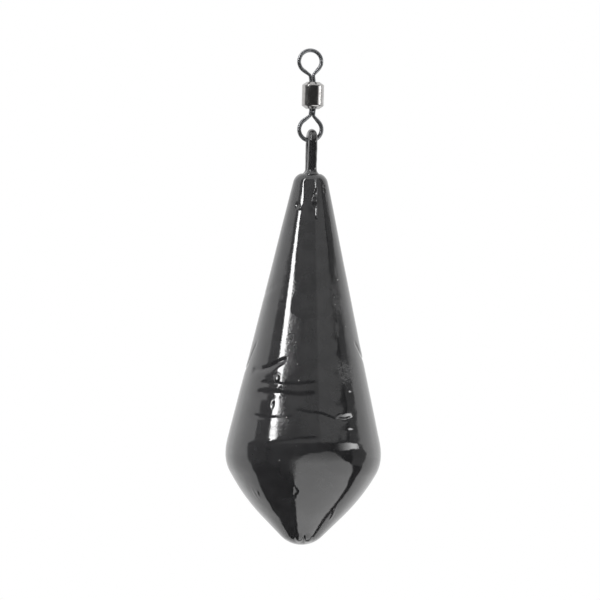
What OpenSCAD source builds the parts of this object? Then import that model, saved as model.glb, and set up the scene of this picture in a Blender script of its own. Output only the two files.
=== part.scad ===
// Casting sinker on a rolling swivel: a cast lead body with a wire loop, dipped in a
// gloss black film, hangs from the lower eye of a small two-eye barrel swivel.
// Millimetres. The origin is the centre of the swivel's upper ring, where the line is
// tied, and the sinker hangs straight down from it along -Z. Both rings lie in the
// XZ plane.

/* [Sinker body] */
// Height of the body from its tip to its shoulder
body_h = 54.2; // [40:0.1:80]
// Width that the upper cone has at the shoulder before its edge is rounded
shoulder_w = 4.46; // [4.2:0.02:6]
// Rounding of the shoulder's edge
shoulder_round = 1.7; // [0.5:0.1:2]
// Width at which the two cones would meet before the belt is rounded
belt_w = 23.4; // [18:0.1:30]
// Height above the tip at which the two cones would meet
belt_h = 12.2; // [11:0.1:16]
// Rounding of the belt
belt_round = 5.6; // [2:0.5:7]
// Distance below the rounded tip at which the lower cone would end in a point
point_drop = 1.74; // [1:0.02:2]
// Distance by which the lower cone swells out from a straight cone
swell_out = 1.03; // [0.2:0.01:1.1]
// Rounding of that swell
swell_round = 28; // [5:1:28]
// Thickness of the black film on the body
film = 0.3; // [0.1:0.05:0.5]
// Width of the casting ridge that runs round the body
ridge_w = 0.5; // [0.3:0.05:1]
// Height of the casting ridge
ridge_h = 0.12; // [0.05:0.01:0.2]
// Turn of the casting ridge's plane from square to the rings, in degrees
ridge_turn = 17; // [0:1:20]

/* [Wire loop] */
// Diameter of the loop's bare wire
loop_wire_d = 1; // [0.8:0.05:1.1]
// Thickness of the black film on the wire
loop_film = 0.2; // [0.1:0.01:0.25]
// Radius of the loop's crown at the middle of its wire
crown_r = 1.15; // [1.1:0.05:1.4]
// Height of the coated loop above the shoulder
loop_h = 6.42; // [5.4:0.02:10]
// Angle at which each leg leans towards the other below the crown, in degrees
leg_lean = 4; // [1:0.5:4]
// Length of each leg that is cast into the lead
sunk_leg = 3.2; // [2:0.1:5]
// Bend radius of the tail, in the lead
tail_bend = 1.6; // [1:0.1:2.5]
// Angle from straight down to which each tail is bent outwards, in degrees
tail_angle = 50; // [30:5:60]
// Length of each tail after its bend
tail_len = 1.4; // [0.5:0.1:2]
// Turn of the loop's plane from square to the rings, in degrees
loop_turn = 9; // [0:1:20]

/* [Swivel] */
// Diameter of the wire that the eyes are bent from
eye_wire_d = 0.55; // [0.4:0.05:0.6]
// Outside width of each ring
ring_w = 3.82; // [3.4:0.02:4.4]
// Angle from the stems at which each leg of a ring runs in, in degrees
ring_leg_angle = 47; // [44:1:55]
// Bend of the wire from a leg of the ring to its stem, at the wire's middle
neck_bend = 0.45; // [0.3:0.05:0.6]
// Distance from a ring's centre to the end of the barrel
eye_reach = 2.99; // [2.9:0.01:4]
// Outside diameter of the barrel
barrel_d = 3.2; // [2.8:0.02:4]
// Length of the barrel
barrel_h = 3.96; // [3.6:0.02:6]
// Wall of the barrel
barrel_wall = 0.3; // [0.2:0.02:0.4]
// Length of the taper that closes each end of the barrel
taper_h = 0.45; // [0.4:0.05:0.8]
// Rounding of the barrel's shoulders
barrel_round = 0.2; // [0.1:0.05:0.4]
// Width of the flat lip round each of the barrel's holes
lip_w = 0.35; // [0.15:0.01:0.4]
// Height of the head that holds an eye in the barrel
head_h = 0.9; // [0.6:0.05:1]

/* [Clearances] */
// Gap between the two stems of an eye
stem_gap = 0.04; // [0.02:0.01:0.08]
// Radial gap between the stems and the barrel's hole
stem_play = 0.06; // [0.03:0.01:0.1]
// Gap round an eye's head inside the barrel
head_play = 0.08; // [0.04:0.01:0.12]
// Gap between the loop's crown and the ring that it hangs on
hang_gap = 0.08; // [0.05:0.01:0.15]

/* [Hidden] */
$fn = 96;
// Number of flats along each rounded corner of an outline
corner_steps = 12;
// Length by which a cut runs past the face that it opens
overrun = 0.1;
// Place of the swell, as a share of the way from the lower cone's point to the belt
swell_share = 0.645;
// Half of the slab that the ridge is cut from, as a share of the belt's width
slab_share = 0.6;
// A bend and the straight next to it overlap by this share of the wire's diameter
lap_share = 0.1;
// The thinner of the two is narrower by this share of the diameter, which seats it in the other
seat_share = 0.012;

// The loop, in its own plane, with the middle of its crown's bend at [0, 0]
skin_r = loop_wire_d / 2 + loop_film;
leg_x = crown_r * cos(leg_lean);
leg_z = -crown_r * sin(leg_lean);
shoulder_drop = loop_h - skin_r - crown_r;
leg_len = (shoulder_drop + leg_z) / cos(leg_lean) + sunk_leg;
bend_x = leg_x - leg_len * sin(leg_lean) + tail_bend * cos(leg_lean);
bend_z = leg_z - leg_len * cos(leg_lean) - tail_bend * sin(leg_lean);
skin_leg = (shoulder_drop + leg_z) / cos(leg_lean) + sunk_leg / 2;
loop_lap = loop_wire_d * lap_share;
loop_seat = loop_wire_d * seat_share;

// The swivel's eye, in its own plane, with the ring's centre at [0, 0]
ring_r = (ring_w - eye_wire_d) / 2;
stem_x = (eye_wire_d + stem_gap) / 2;
neck_x = stem_x + neck_bend;
touch_x = ring_r * cos(ring_leg_angle);
touch_z = -ring_r * sin(ring_leg_angle);
ring_leg = (touch_x - neck_x + neck_bend * cos(ring_leg_angle)) / sin(ring_leg_angle);
neck_z = ring_leg * cos(ring_leg_angle) - touch_z + neck_bend * sin(ring_leg_angle);
hole_r = stem_x + eye_wire_d / 2 + stem_play;
bore_r = barrel_d / 2 - barrel_wall;
end_wall = barrel_wall;
head_r = bore_r - head_play;
head_top = eye_reach + end_wall + head_play;
head_slope = taper_h * (head_r - hole_r) / (bore_r - hole_r);
stem_len = head_top + head_h / 2 - neck_z;
eye_lap = eye_wire_d * lap_share;
eye_seat = eye_wire_d * seat_share;

// Heights of the assembly
swivel_drop = 2 * eye_reach + barrel_h;
pivot_z = -swivel_drop - ring_r;
crown_z = pivot_z + eye_wire_d / 2 + hang_gap + skin_r - crown_r;
shoulder_z = crown_z - shoulder_drop;
tip_z = shoulder_z - body_h;

// Corners of the body's outline before they are rounded, as [radius, height above the tip]
top_middle = [0, body_h];
shoulder = [shoulder_w / 2, body_h];
belt = [belt_w / 2, belt_h];
point = [0, -point_drop];
lower_side = belt - point;
swell = point + swell_share * lower_side
    + swell_out * [lower_side[1], -lower_side[0]] / norm(lower_side);
tip_angle = atan2(swell[0], swell[1] + point_drop);
tip_round = point_drop * sin(tip_angle) / (1 - sin(tip_angle));

// Unit vector from a to b
function toward(a, b) = (b - a) / norm(b - a);

// Points along the arc that rounds the corner b between a and c with radius r
function rounded(a, b, c, r) =
    let (
        u = toward(b, a),
        v = toward(b, c),
        half = acos(u * v) / 2,
        middle = b + toward([0, 0], u + v) * r / sin(half),
        start = b + u * r / tan(half) - middle,
        finish = b + v * r / tan(half) - middle,
        from = atan2(start[1], start[0]),
        swing = atan2(finish[1], finish[0]) - from,
        sweep = swing > 180 ? swing - 360 : swing < -180 ? swing + 360 : swing
    )
    [for (i = [0:corner_steps]) let (angle = from + sweep * i / corner_steps)
        middle + r * [cos(angle), sin(angle)]];

// Points along the round tip, from its last tangent point down to the axis
function tip_points() =
    [for (i = [0:corner_steps]) let (angle = -tip_angle - (90 - tip_angle) * i / corner_steps)
        [i == corner_steps ? 0 : tip_round * cos(angle), tip_round + tip_round * sin(angle)]];

// The body's outline from the middle of its shoulder to its tip
function body_points() = concat(
    [top_middle],
    rounded(top_middle, shoulder, belt, shoulder_round),
    rounded(shoulder, belt, swell, belt_round),
    rounded(belt, swell, point, swell_round),
    tip_points()
);

// The same outline moved inwards by depth, or outwards where depth is negative
function inset(points, depth) =
    let (last = len(points) - 1)
    [for (i = [0:last])
        i == 0 ? [0, points[i][1] - depth]
        : i == last ? [0, points[i][1] + depth]
        : let (along = toward(points[i - 1], points[i + 1]))
            points[i] + depth * [along[1], -along[0]]];

// A solid of revolution, standing on the tip, whose surface lies depth inside the film's
module body_shape(depth) {
    translate([0, 0, tip_z])
        rotate_extrude()
            polygon(inset(body_points(), depth));
}

// The casting ridge, which stands ridge_h proud of the surface at depth
module ridge(depth) {
    intersection() {
        body_shape(depth - ridge_h);
        translate([-ridge_w / 2, -belt_w * slab_share, tip_z + tip_round])
            cube([ridge_w, 2 * belt_w * slab_share, body_h - tip_round - shoulder_round]);
    }
}

// Part of a ring of round wire in the XZ plane, from one angle to another about [x, z].
// Its ends run on by the length lap into the pieces that it joins.
module wire_arc(x, z, bend_r, from, to, wire_r, lap = 0) {
    run_on = lap / bend_r * 180 / PI;
    translate([x, 0, z])
        rotate([90, 0, 0])
            rotate([0, 0, from - run_on])
                rotate_extrude(angle = to - from + 2 * run_on)
                    translate([bend_r, 0])
                        circle(r = wire_r);
}

// A straight length of wire in the XZ plane that leaves [x, z] at an angle from straight down.
// Its ends run on by the length lap.
module wire_rod(x, z, angle, length, wire_r, lap = 0) {
    translate([x, 0, z])
        rotate([0, 180 - angle, 0])
            translate([0, 0, -lap])
                cylinder(h = length + 2 * lap, r = wire_r);
}

// Turns what is drawn in the XZ plane into the loop's plane and puts it in its place
module in_loop_plane() {
    translate([0, 0, crown_z])
        rotate([0, 0, 90 + loop_turn])
            children();
}

// The crown and both legs, with wire of the given radius
module crown_and_legs(wire_r, length) {
    wire_arc(0, 0, crown_r, -leg_lean, 180 + leg_lean, wire_r);
    for (side = [0, 1])
        mirror([side, 0, 0])
            wire_rod(leg_x, leg_z, -leg_lean, length, wire_r - loop_seat, loop_lap);
}

// The whole bent wire: crown, legs, and the tails that hold it in the lead
module loop_wire() {
    wire_r = loop_wire_d / 2;
    in_loop_plane() {
        crown_and_legs(wire_r, leg_len);
        for (side = [0, 1])
            mirror([side, 0, 0]) {
                wire_arc(bend_x, bend_z, tail_bend, 180 - leg_lean, 180 + tail_angle, wire_r);
                wire_rod(
                    bend_x - tail_bend * cos(tail_angle),
                    bend_z - tail_bend * sin(tail_angle),
                    tail_angle, tail_len, wire_r - loop_seat, loop_lap
                );
            }
    }
}

// The lead with its casting ridge and no channel for the wire
module lead_shape() {
    body_shape(film);
    rotate([0, 0, ridge_turn])
        ridge(film);
}

module lead_core() {
    color([0.45, 0.46, 0.48])
        difference() {
            lead_shape();
            loop_wire();
        }
}

// The black film, one skin over the lead and over the bare part of the loop
module coating() {
    color([0.05, 0.05, 0.055])
        difference() {
            union() {
                body_shape(0);
                rotate([0, 0, ridge_turn])
                    ridge(0);
                in_loop_plane()
                    crown_and_legs(skin_r, skin_leg);
            }
            lead_shape();
            loop_wire();
        }
}

module wire_loop() {
    color([0.6, 0.6, 0.62])
        loop_wire();
}

// Half of the barrel's outline, from its hole to its middle
function barrel_points(hole, lip, radius, taper, edge, height) = concat(
    [[hole, height / 2]],
    [[lip, height / 2]],
    rounded([lip, height / 2], [radius, height / 2 - taper], [radius, 0], edge),
    [[radius, 0]]
);

// The outline from points and its mirror image below the middle, closed along the axis
function both_halves(points) = concat(
    [[0, points[0][1]]],
    points,
    [for (i = [len(points) - 2:-1:0]) [points[i][0], -points[i][1]]],
    [[0, -points[0][1]]]
);

// The closed tube that both eyes turn in
module swivel_barrel() {
    color([0.78, 0.78, 0.8])
        translate([0, 0, -swivel_drop / 2])
            difference() {
                rotate_extrude()
                    polygon(both_halves(barrel_points(
                        hole_r, hole_r + lip_w, barrel_d / 2, taper_h, barrel_round, barrel_h
                    )));
                rotate_extrude()
                    polygon(both_halves([
                        [hole_r, barrel_h / 2 - end_wall],
                        [bore_r, barrel_h / 2 - end_wall - taper_h],
                        [bore_r, 0]
                    ]));
                translate([0, 0, -barrel_h / 2 - overrun])
                    cylinder(h = barrel_h + 2 * overrun, r = hole_r);
            }
}

// One eye: a ring whose two ends run side by side through the barrel's hole into one head
module swivel_eye() {
    wire_r = eye_wire_d / 2;
    wire_arc(0, 0, ring_r, -ring_leg_angle, 180 + ring_leg_angle, wire_r);
    for (side = [0, 1])
        mirror([side, 0, 0]) {
            wire_rod(touch_x, touch_z, -ring_leg_angle, ring_leg, wire_r - eye_seat, eye_lap);
            wire_arc(neck_x, -neck_z, neck_bend, 180 - ring_leg_angle, 180, wire_r);
            wire_rod(stem_x, -neck_z, 0, stem_len, wire_r - eye_seat, eye_lap);
        }
    translate([0, 0, -head_top])
        rotate_extrude()
            polygon([
                [0, 0],
                [hole_r, 0],
                [head_r, -head_slope],
                [head_r, -head_h],
                [0, -head_h]
            ]);
}

module swivel_upper_eye() {
    color([0.22, 0.22, 0.24])
        swivel_eye();
}

module swivel_lower_eye() {
    color([0.22, 0.22, 0.24])
        translate([0, 0, -swivel_drop])
            mirror([0, 0, 1])
                swivel_eye();
}

lead_core();
coating();
wire_loop();
swivel_barrel();
swivel_upper_eye();
swivel_lower_eye();
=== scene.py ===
import math

import bpy
import numpy as np
from mathutils import Matrix, Vector, noise
from mathutils.bvhtree import BVHTree


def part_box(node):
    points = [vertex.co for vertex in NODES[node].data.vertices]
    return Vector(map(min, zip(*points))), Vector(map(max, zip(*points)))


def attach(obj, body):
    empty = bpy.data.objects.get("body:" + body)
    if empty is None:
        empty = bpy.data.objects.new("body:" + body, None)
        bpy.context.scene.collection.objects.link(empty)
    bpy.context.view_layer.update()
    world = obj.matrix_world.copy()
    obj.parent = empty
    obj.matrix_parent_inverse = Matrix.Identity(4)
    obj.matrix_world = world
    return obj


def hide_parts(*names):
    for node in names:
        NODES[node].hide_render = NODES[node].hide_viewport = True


# The looks of a casting sinker: a cast lead in a gloss black dip, hung from a small barrel
# swivel. Lengths are in metres, +Z is up and the front faces -Y. An angle on the body counts
# from its front, positive towards +X, and a height on it counts up from its tip.

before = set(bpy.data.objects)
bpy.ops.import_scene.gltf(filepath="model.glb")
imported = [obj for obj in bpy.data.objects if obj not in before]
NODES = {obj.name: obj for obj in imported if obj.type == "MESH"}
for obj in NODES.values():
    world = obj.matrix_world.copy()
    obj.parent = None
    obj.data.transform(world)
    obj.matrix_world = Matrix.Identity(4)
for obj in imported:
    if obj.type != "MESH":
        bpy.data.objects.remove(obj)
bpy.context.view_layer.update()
TIP_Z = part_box("coating")[0].z
LOOP_TOP_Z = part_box("coating")[1].z
BELT_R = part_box("coating")[1].x
RING_TOP_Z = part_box("swivel_upper_eye")[1].z
BARREL_LOW, BARREL_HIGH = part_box("swivel_barrel")
# The upper ring's centre is the frame's origin, and the lower ring mirrors it in the barrel
UPPER_CENTRE_Z = 0.0
LOWER_CENTRE_Z = BARREL_LOW.z + BARREL_HIGH.z
FILM = "gloss_black_vinyl_dip"
MM = 0.001

bl_info = {
    "name": "Casting Sinker",
    "version": (1, 0, 0),
    "blender": (4, 5, 0),
    "location": "View3D > Sidebar > Sinker",
    "description": "Dresses the frame of a black-dipped casting sinker and lights it",
    "category": "Object",
}


# Colour and node helpers

# Kinds of node that are used again and again
MATH = "ShaderNodeMath"
RANGE = "ShaderNodeMapRange"
SEPARATE = "ShaderNodeSeparateXYZ"
NOISE = "ShaderNodeTexNoise"
BUMP = "ShaderNodeBump"
EMISSION = "ShaderNodeEmission"
PRINCIPLED = "ShaderNodeBsdfPrincipled"


def linear(code):
    """The linear RGBA of an sRGB hex colour such as #1c1c1d."""
    parts = [int(code[i:i + 2], 16) / 255 for i in (1, 3, 5)]
    return tuple(c / 12.92 if c <= 0.04045 else ((c + 0.055) / 1.055) ** 2.4 for c in parts) + (1.0,)


def add(tree, kind, inputs=(), **settings):
    """Adds a node with its settings, links or sets its inputs, and gives its outputs. Inputs are
    named or numbered, or else they are the first ones in order."""
    made = tree.nodes.new(kind)
    for key, value in settings.items():
        setattr(made, key, value)
    for key, value in inputs.items() if isinstance(inputs, dict) else enumerate(inputs):
        if isinstance(value, bpy.types.NodeSocket):
            tree.links.new(value, made.inputs[key])
        else:
            made.inputs[key].default_value = value
    return made.outputs


def blank_material(name):
    material = bpy.data.materials.new(name)
    material.use_nodes = True
    material.node_tree.nodes.clear()
    return material, material.node_tree


def surfaced(material, kind, inputs):
    """The material with one shader of the given kind as its surface."""
    shader = add(material.node_tree, kind, inputs)[0]
    add(material.node_tree, "ShaderNodeOutputMaterial", {"Surface": shader})
    return material


def grain(tree, size, detail=2.0, roughness=0.5, reach=None):
    """Noise on the object's own coordinates whose blobs are about size across. A reach, as
    (low, high, value at low, value at high), stretches it."""
    place = add(tree, "ShaderNodeTexCoord")["Object"]
    noisy = add(tree, NOISE, {
        "Vector": place, "Scale": 1 / size, "Detail": detail, "Roughness": roughness})["Fac"]
    return add(tree, RANGE, (noisy, *reach))[0] if reach else noisy


def mottled(tree, dark, light, size, detail=2.0, roughness=0.5, low=0.35, high=0.65):
    """Clouds of two colours about size across, which mix where the noise is from low to high."""
    share = grain(tree, size, detail, roughness, (low, high, 0.0, 1.0))
    return add(tree, "ShaderNodeMix", {0: share, 6: dark, 7: light}, data_type="RGBA")[2]


# Materials


def dip_film():
    """Gloss black vinyl dip, hung up to cure: deep black, wet-looking, with a faint orange peel
    and, where dust settled in it, a fine grain that frays and dulls the edge of a highlight."""
    material, tree = blank_material(FILM)
    s = bpy.context.scene.sinker_coat
    peel = grain(tree, s.peel_size, 1.0)
    fine = grain(tree, s.grain_size, 2.0, 0.6, (0.45, 0.62, 0.0, 1.0))
    dusty = add(tree, "ShaderNodeAttribute", attribute_name="dust")["Fac"]
    dust = add(tree, MATH, (fine, dusty), operation="MULTIPLY")[0]
    bump = add(tree, BUMP, {"Height": peel, "Distance": s.peel_height})[0]
    bump = add(tree, BUMP, {"Height": dust, "Distance": s.grain_height, "Normal": bump})[0]
    colour = mottled(tree, s.film_dark, s.film_light, 2.5 * MM)
    clouds = grain(tree, 1.2 * MM, 3.0, reach=(0.3, 0.7, 0.05, 0.09))
    rough = add(tree, MATH, (dust, 0.13, clouds), operation="MULTIPLY_ADD")[0]
    return surfaced(material, PRINCIPLED, {
        "Base Color": colour, "Roughness": rough, "IOR": 1.5, "Normal": bump})


def bright_nickel():
    """Nickel plate on turned brass: a grey, faintly warm mirror, with the fine rings that the
    turning left and a few dull spots."""
    material, tree = blank_material("bright_nickel_plate")
    s = bpy.context.scene.sinker_swivel
    place = add(tree, "ShaderNodeTexCoord")["Object"]
    # Squeezed along the axis, the noise makes rings about 0.11 mm apart
    along = add(tree, "ShaderNodeMapping", {"Vector": place, "Scale": (1.0, 1.0, 14.0)})[0]
    rings = add(tree, NOISE, {"Vector": along, "Scale": 1 / (1.6 * MM), "Detail": 3.0})["Fac"]
    bump = add(tree, BUMP, {"Height": rings, "Distance": 0.0003 * MM})[0]
    colour = mottled(tree, s.barrel_dark, s.barrel_light, 0.8 * MM)
    rough = grain(tree, 0.3 * MM, 3.0, reach=(0.3, 0.7, 0.12, 0.24))
    return surfaced(material, PRINCIPLED, {
        "Base Color": colour, "Metallic": 1.0, "Roughness": rough, "Normal": bump})


def black_nickel():
    """Black nickel plate on drawn steel wire: a dark smoky sheen, faintly uneven, with lighter
    rubs where the plate has worn."""
    material, tree = blank_material("black_nickel_plate")
    s = bpy.context.scene.sinker_swivel
    bump = add(tree, BUMP, {"Height": grain(tree, 0.5 * MM, 1.0), "Distance": 0.0005 * MM})[0]
    colour = mottled(tree, s.eye_dark, s.eye_light, 0.8 * MM, 3.0, 0.6, 0.6, 0.72)
    rough = grain(tree, 0.3 * MM, reach=(0.3, 0.7, 0.36, 0.46))
    return surfaced(material, PRINCIPLED, {
        "Base Color": colour, "Metallic": 1.0, "Roughness": rough, "Normal": bump})


def cast_lead():
    """Lead as cast: dull blue-grey with darker oxide clouds and a sandy skin."""
    material, tree = blank_material("cast_lead")
    colour = mottled(tree, linear("#6e7176"), linear("#83868b"), 3 * MM, 4.0)
    bump = add(tree, BUMP, {"Height": grain(tree, 0.4 * MM, 4.0), "Distance": 0.02 * MM})[0]
    return surfaced(material, PRINCIPLED, {
        "Base Color": colour, "Metallic": 1.0, "Roughness": 0.55, "Normal": bump})


def drawn_steel():
    """Drawn steel wire: plain grey metal with a soft sheen from the die."""
    material, tree = blank_material("drawn_steel_wire")
    colour = mottled(tree, linear("#a6a8aa"), linear("#bcbdbf"), 0.5 * MM, 3.0)
    bump = add(tree, BUMP, {"Height": grain(tree, 0.1 * MM), "Distance": 0.002 * MM})[0]
    return surfaced(material, PRINCIPLED, {
        "Base Color": colour, "Metallic": 1.0, "Roughness": 0.35, "Normal": bump})


def pale_dust():
    """House dust and lint caught in the film: matt, pale grey specks. Where they crowd beside the tall
    highlight they are painted glints as well.
    """
    material, tree = blank_material("pale_dust")
    s = bpy.context.scene.sinker_coat
    colour = mottled(tree, s.dust_and_glint_dark, s.dust_and_glint_light, 0.5 * MM, low=0.4, high=0.6)
    return surfaced(material, PRINCIPLED, {"Base Color": colour, "Roughness": 0.8})


def pale_floor():
    """Matt white laminate: plain and pale, seen by the eye and in reflections nearly as white
    paper, with a faint soft shadow."""
    material, tree = blank_material("matt_white_laminate")
    path = add(tree, "ShaderNodeLightPath")
    seen = add(tree, MATH, (path["Is Camera Ray"], path["Is Glossy Ray"]), operation="MAXIMUM")[0]
    share = add(tree, MATH, (seen, 0.82), operation="MULTIPLY")[0]
    colour = mottled(tree, linear("#e6e6e6"), linear("#ececec"), 40 * MM, 3.0, low=0.3, high=0.7)
    matt = add(tree, "ShaderNodeBsdfDiffuse", {"Color": colour})[0]
    white = add(tree, EMISSION, {"Strength": 1.0})[0]
    return surfaced(material, "ShaderNodeMixShader", (share, matt, white))


# How nearly straight back a direction points where the room starts to dim
DIM_FROM = 0.7


def dimmed_behind(tree, way, strength, behind):
    """A strength that falls to another one straight behind the part."""
    unit = add(tree, "ShaderNodeVectorMath", [way], operation="NORMALIZE")[0]
    away = add(tree, SEPARATE, [unit])["Y"]
    return add(tree, RANGE, (away, DIM_FROM, 1.0, strength, behind))[0]


def glowing_cloth(name, strength, fade=None, behind=None):
    """Lit white diffusion cloth: an even white panel, one that fades to another strength as
    (axis, place of the first strength, place of the second, second strength), or one that is
    dimmed behind the part."""
    material, tree = blank_material(name)
    place = add(tree, "ShaderNodeTexCoord")["Object"]
    if fade:
        axis, start, end, last = fade
        along = add(tree, SEPARATE, [place])[axis]
        strength = add(tree, RANGE, (along, start, end, strength, last))[0]
    if behind is not None:
        strength = dimmed_behind(tree, place, strength, behind)
    return surfaced(material, EMISSION, {"Strength": strength})


# Geometry node trees


def geometry_tree(name, inputs):
    """A tree with a Geometry input and output and the named inputs, as (tree, its inputs)."""
    tree = bpy.data.node_groups.new(name, "GeometryNodeTree")
    for label, kind in {"Geometry": "Geometry", **inputs}.items():
        tree.interface.new_socket(label, in_out="INPUT", socket_type="NodeSocket" + kind)
    tree.interface.new_socket("Geometry", in_out="OUTPUT", socket_type="NodeSocketGeometry")
    return tree, add(tree, "NodeGroupInput")


def close_tree(tree, geometry, material):
    """Ends a tree in Set Shade Smooth, Realize Instances and Set Material."""
    smooth = add(tree, "GeometryNodeSetShadeSmooth", {"Geometry": geometry})[0]
    real = add(tree, "GeometryNodeRealizeInstances", {"Geometry": smooth})[0]
    dressed = add(tree, "GeometryNodeSetMaterial", {"Geometry": real, "Material": material})[0]
    add(tree, "NodeGroupOutput", [dressed])
    return tree


def grown(name, base, tree, values):
    """Runs the tree on the base object and keeps the result as a plain mesh object."""
    modifier = base.modifiers.new(tree.name, "NODES")
    modifier.node_group = tree
    for item in tree.interface.items_tree:
        if item.in_out == "INPUT" and item.name in values:
            modifier[item.identifier] = values[item.name]
    base.update_tag()
    bpy.context.view_layer.update()
    depsgraph = bpy.context.evaluated_depsgraph_get()
    mesh = bpy.data.meshes.new_from_object(base.evaluated_get(depsgraph), depsgraph=depsgraph)
    mesh.name = name
    base.modifiers.remove(modifier)
    bpy.data.objects.remove(base)
    return linked(name, mesh)


def linked(name, data):
    """A new object with the data, in the scene."""
    made = bpy.data.objects.new(name, data)
    bpy.context.scene.collection.objects.link(made)
    return made


def poly_curve(name, points, widths=None):
    """A curve object of one open spline through the points, with a width factor for each."""
    curve = bpy.data.curves.new(name, "CURVE")
    curve.dimensions = "3D"
    spline = curve.splines.new("POLY")
    spline.points.add(len(points) - 1)
    for target, point, width in zip(spline.points, points, widths or [1.0] * len(points)):
        target.co = (*point, 1.0)
        target.radius = width
    return linked(name, curve)


def turned_tree(material):
    """A closed body of revolution from an outline curve in the XZ plane, whose two ends lie on
    the Z axis. Front share crowds its columns towards the front."""
    tree, given = geometry_tree("turned_body", {"Columns": "Int", "Rows": "Int", "Front share": "Float"})
    wide = add(tree, MATH, (given["Columns"], 1.0), operation="ADD")[0]
    grid = add(tree, "GeometryNodeMeshGrid", {"Vertices X": wide, "Vertices Y": given["Rows"]})
    place = add(tree, SEPARATE, [grid["UV Map"]])
    last = add(tree, MATH, (given["Rows"], 1.0), operation="SUBTRACT")[0]
    row = add(tree, MATH, (place["Y"], last), operation="MULTIPLY")[0]
    row = add(tree, MATH, [row], operation="ROUND")[0]
    position = add(tree, "GeometryNodeInputPosition")[0]
    spot = add(tree, "GeometryNodeSampleIndex", {
        "Geometry": given["Geometry"], "Value": position, "Index": row}, data_type="FLOAT_VECTOR")[0]
    turn = add(tree, RANGE, (place["X"], 0.0, 1.0, -math.pi, math.pi))[0]
    crowd = add(tree, MATH, [turn], operation="SINE")[0]
    # The outline lies towards +X, a quarter turn from the front
    back = add(tree, MATH, (crowd, given["Front share"], math.pi / 2), operation="MULTIPLY_ADD")[0]
    angle = add(tree, MATH, (turn, back), operation="SUBTRACT")[0]
    spot = add(tree, "ShaderNodeVectorRotate", {"Vector": spot, "Angle": angle}, rotation_type="Z_AXIS")[0]
    placed = add(tree, "GeometryNodeSetPosition", {"Geometry": grid["Mesh"], "Position": spot})[0]
    merged = add(tree, "GeometryNodeMergeByDistance", {"Geometry": placed, "Distance": 0.0002 * MM})[0]
    return close_tree(tree, merged, material)


def wire_tree(material):
    """A round wire along a curve. It swells into a foot below a height, and its skin is lumpy."""
    tree, given = geometry_tree("bent_wire", {
        "Radius": "Float", "Sides": "Int", "Foot height": "Float", "Foot reach": "Float",
        "Foot swell": "Float", "Lump size": "Float", "Lump height": "Float",
    })
    place = add(tree, "GeometryNodeInputPosition")[0]
    height = add(tree, SEPARATE, [place])["Z"]
    ends = add(tree, MATH, (given["Foot height"], given["Foot reach"]), operation="ADD")[0]
    near = add(tree, RANGE, (height, given["Foot height"], ends, 1.0, 0.0))[0]
    foot = add(tree, MATH, (near, 3.0), operation="POWER")[0]
    foot = add(tree, MATH, (foot, given["Foot swell"]), operation="MULTIPLY")[0]
    width = add(tree, "GeometryNodeInputRadius")[0]
    width = add(tree, MATH, (width, given["Radius"]), operation="MULTIPLY")[0]
    radius = add(tree, MATH, (width, foot), operation="ADD")[0]
    circle = add(tree, "GeometryNodeCurvePrimitiveCircle", {
        "Resolution": given["Sides"], "Radius": 1.0})[0]
    tube = add(tree, "GeometryNodeCurveToMesh", {
        "Curve": given["Geometry"], "Profile Curve": circle, "Scale": radius, "Fill Caps": True})[0]
    waves = add(tree, MATH, (1.0, given["Lump size"]), operation="DIVIDE")[0]
    lumps = add(tree, NOISE, {"Vector": place, "Scale": waves, "Detail": 1.5})["Fac"]
    push = add(tree, MATH, (lumps, 0.5), operation="SUBTRACT")[0]
    push = add(tree, MATH, (push, given["Lump height"]), operation="MULTIPLY")[0]
    normal = add(tree, "GeometryNodeInputNormal")[0]
    offset = add(tree, "ShaderNodeVectorMath", {0: normal, "Scale": push}, operation="SCALE")[0]
    moved = add(tree, "GeometryNodeSetPosition", {"Geometry": tube, "Offset": offset})[0]
    return close_tree(tree, moved, material)


def specks_tree(material):
    """Small round grains scattered over a mesh where its dust attribute is strong: pale dust, and beside
    the tall highlight painted glints.
    """
    tree, given = geometry_tree("dust_specks", {
        "Per square metre": "Float", "Smallest": "Float", "Largest": "Float", "Seed": "Int",
    })
    dust = add(tree, "GeometryNodeInputNamedAttribute", {"Name": "dust"}, data_type="FLOAT")[0]
    share = add(tree, MATH, (dust, 2.0), operation="POWER")[0]
    density = add(tree, MATH, (given["Per square metre"], share), operation="MULTIPLY")[0]
    points = add(tree, "GeometryNodeDistributePointsOnFaces", {
        "Mesh": given["Geometry"], "Density": density, "Seed": given["Seed"]})["Points"]
    ball = add(tree, "GeometryNodeMeshIcoSphere", {"Radius": 1.0, "Subdivisions": 2})[0]
    size = add(tree, "FunctionNodeRandomValue", {
        2: given["Smallest"], 3: given["Largest"], "Seed": given["Seed"]}, data_type="FLOAT")[1]
    grains = add(tree, "GeometryNodeInstanceOnPoints", {
        "Points": points, "Instance": ball, "Scale": size})[0]
    return close_tree(tree, grains, material)


# The coat's outline and its relief, in mm and degrees

# The share and the width of each of the film's slow waves, and (from, to, fade) where they are calm
SLOW_WAVES = ((0.7, 7.0), (0.3, 2.6))
CALM = (12, 13.6, 1.5)
# Fine ripples: (height, width, (from height, to, fade), (from angle, to, fade))
RIPPLES = ((0.012, 1.1, (4, 10, 2), (-60, -5, 8)), (0.016, 1.5, (15, 42, 3), (29, 48, 5)))
# Where the mesh's rows crowd: (how much, from height, to height, fade)
FINE_ROWS = ((0.8, 13.2, 31, 2), (0.8, 45, 56, 2), (0.5, -2, 3, 1))
RAYS_PER_DEGREE = 10
LAST_RAY = 178
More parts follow.
